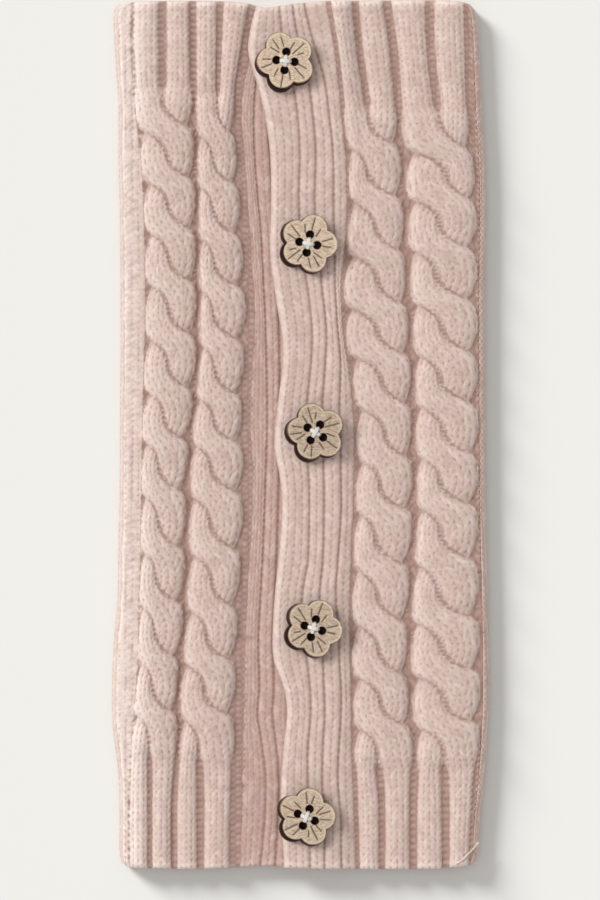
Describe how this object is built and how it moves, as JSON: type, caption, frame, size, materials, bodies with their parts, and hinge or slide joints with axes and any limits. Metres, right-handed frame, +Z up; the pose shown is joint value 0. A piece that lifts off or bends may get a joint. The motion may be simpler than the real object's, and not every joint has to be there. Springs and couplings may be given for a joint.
{
  "type": "leg warmer",
  "caption": "Cable-knit leg warmer laid flat, with ribbed cuffs and a lapped ribbed band down the front held by flower-shaped wooden buttons.",
  "frame": {"origin": "centre of the bounding box, on the surface that the leg warmer lies on", "axes": "+Z up from the table, +Y along the tube towards the top cuff, +X across it towards the cables beside the button band's joined edge"},
  "size_m": [0.1636, 0.3769, 0.016],
  "materials": {
    "knit": "matte",
    "wood": "satin",
    "thread": "matte"
  },
  "bodies": {
    "root": {"back": "knit", "left_front": "knit", "right_front": "knit", "under_band": "knit", "button_band": "knit", "button_1": "wood", "button_2": "wood", "button_3": "wood", "button_4": "wood", "button_5": "wood"}
  },
  "joints": []
}
